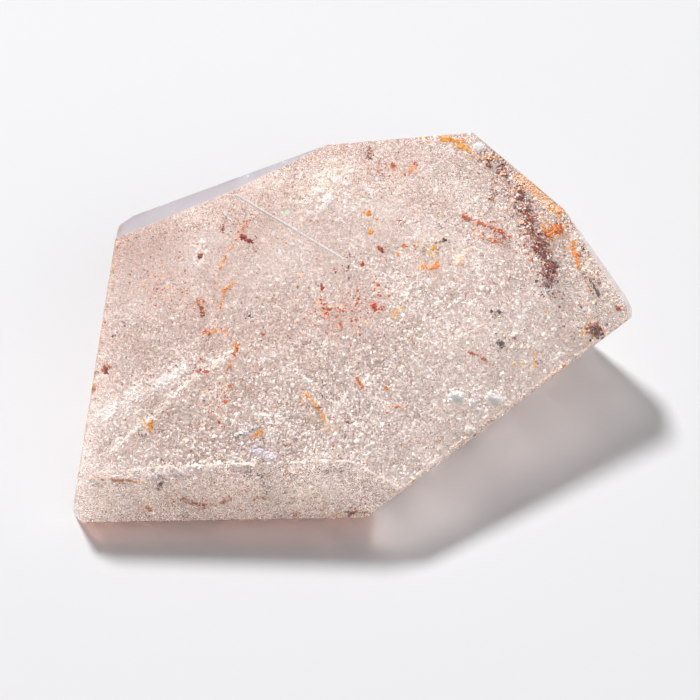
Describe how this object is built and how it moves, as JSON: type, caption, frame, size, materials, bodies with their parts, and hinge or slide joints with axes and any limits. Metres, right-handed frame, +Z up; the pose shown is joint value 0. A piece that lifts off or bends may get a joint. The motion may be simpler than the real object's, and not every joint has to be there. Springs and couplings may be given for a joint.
{
  "type": "polished quartz freeform",
  "caption": "Free-standing polished slab of pink quartz with flat facets, crisp edges and a flat base, made as a display piece.",
  "frame": {"origin": "on the surface that the stone rests on, near the middle of its flat base", "axes": "+Z up from the base, X along the stone's long side, -Y towards its low front"},
  "size_m": [0.0924, 0.0608, 0.0322],
  "materials": {
    "quartz": "polished"
  },
  "bodies": {
    "root": {"quartz_freeform": "quartz"}
  },
  "joints": []
}
